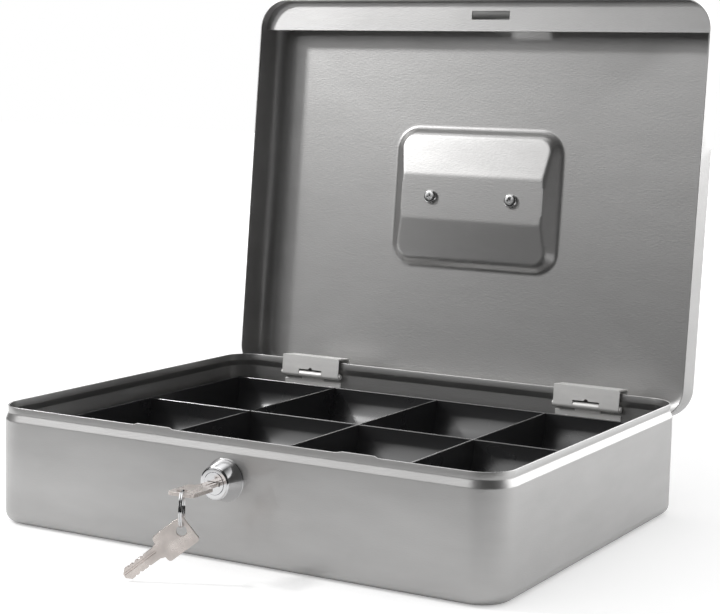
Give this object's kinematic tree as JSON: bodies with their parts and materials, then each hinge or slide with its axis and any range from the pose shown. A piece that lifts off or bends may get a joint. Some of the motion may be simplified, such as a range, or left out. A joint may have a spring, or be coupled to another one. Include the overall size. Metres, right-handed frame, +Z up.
{
  "type": "cash box",
  "caption": "Low rectangular steel cash box with rounded corners, its lid open, a lift-out coin tray inside and a cam lock with keys in the front wall.",
  "frame": {"origin": "middle of the base's flat underside", "axes": "+Z up, +X to the right, -Y towards the user, where the lock is"},
  "size_m": [0.3, 0.3377, 0.2899],
  "materials": {
    "silver_paint": "satin metallic silver",
    "hinge_steel": "zinc-plated, satin",
    "handle_chrome": "bright",
    "lock_chrome": "bright",
    "lock_zinc": "zinc-plated",
    "wafer_brass": "stamped",
    "key_nickel": "nickel-plated",
    "tray_plastic": "moulded, glossy"
  },
  "bodies": {
    "case": {"base_shell": "silver_paint", "base_hinge_leaf_left": "hinge_steel", "base_hinge_leaf_right": "hinge_steel", "hinge_pin_left": "hinge_steel", "hinge_pin_right": "hinge_steel", "base_hinge_rivets": "hinge_steel", "lock_housing": "lock_chrome", "lock_nut": "lock_zinc"},
    "lid": {"lid_shell": "silver_paint", "lid_catch_flange": "silver_paint", "lid_hinge_leaf_left": "hinge_steel", "lid_hinge_leaf_right": "hinge_steel", "lid_hinge_rivets": "hinge_steel", "handle_bracket_left": "handle_chrome", "handle_bracket_right": "handle_chrome", "handle_screws": "handle_chrome"},
    "bail": {"handle_bail": "handle_chrome"},
    "plug": {"lock_plug": "lock_chrome", "lock_wafers": "wafer_brass", "lock_cam": "lock_zinc", "cam_screw": "lock_zinc"},
    "key": {"key_in_lock": "key_nickel"},
    "ring": {"key_ring": "lock_chrome"},
    "spare": {"spare_key": "key_nickel"},
    "tray": {"coin_tray": "tray_plastic"}
  },
  "joints": [
    {"name": "lid_hinge", "type": "hinge", "parent": "case", "child": "lid", "pos_m": [0, 0.1166, 0.05456], "axis": [-1, 0, 0], "range_deg": [-95, 0]},
    {"name": "bail_swing", "type": "hinge", "parent": "lid", "child": "bail", "pos_m": [0, 0.15161, 0.16854], "axis": [1, 0, 0], "range_deg": [-5, 85]},
    {"name": "plug_turn", "type": "hinge", "parent": "case", "child": "plug", "pos_m": [0, -0.12, 0.0423], "axis": [0, 1, 0], "range_deg": [-90, 0]},
    {"name": "key_slide", "type": "slide", "parent": "plug", "child": "key", "axis": [0, -1, 0], "range_m": [0, 0.03]},
    {"name": "ring_swing", "type": "hinge", "parent": "key", "child": "ring", "pos_m": [0.00122, -0.15861, 0.0356], "axis": [0.8712, 0.4909, 0], "range_deg": [-25, 25]},
    {"name": "spare_swing", "type": "hinge", "parent": "ring", "child": "spare", "pos_m": [0.00122, -0.15861, 0.0251], "axis": [0.4909, -0.8712, 0], "range_deg": [-42, 0]},
    {"name": "tray_lift", "type": "slide", "parent": "case", "child": "tray", "axis": [0, 0, 1], "range_m": [0, 0.07]}
  ]
}
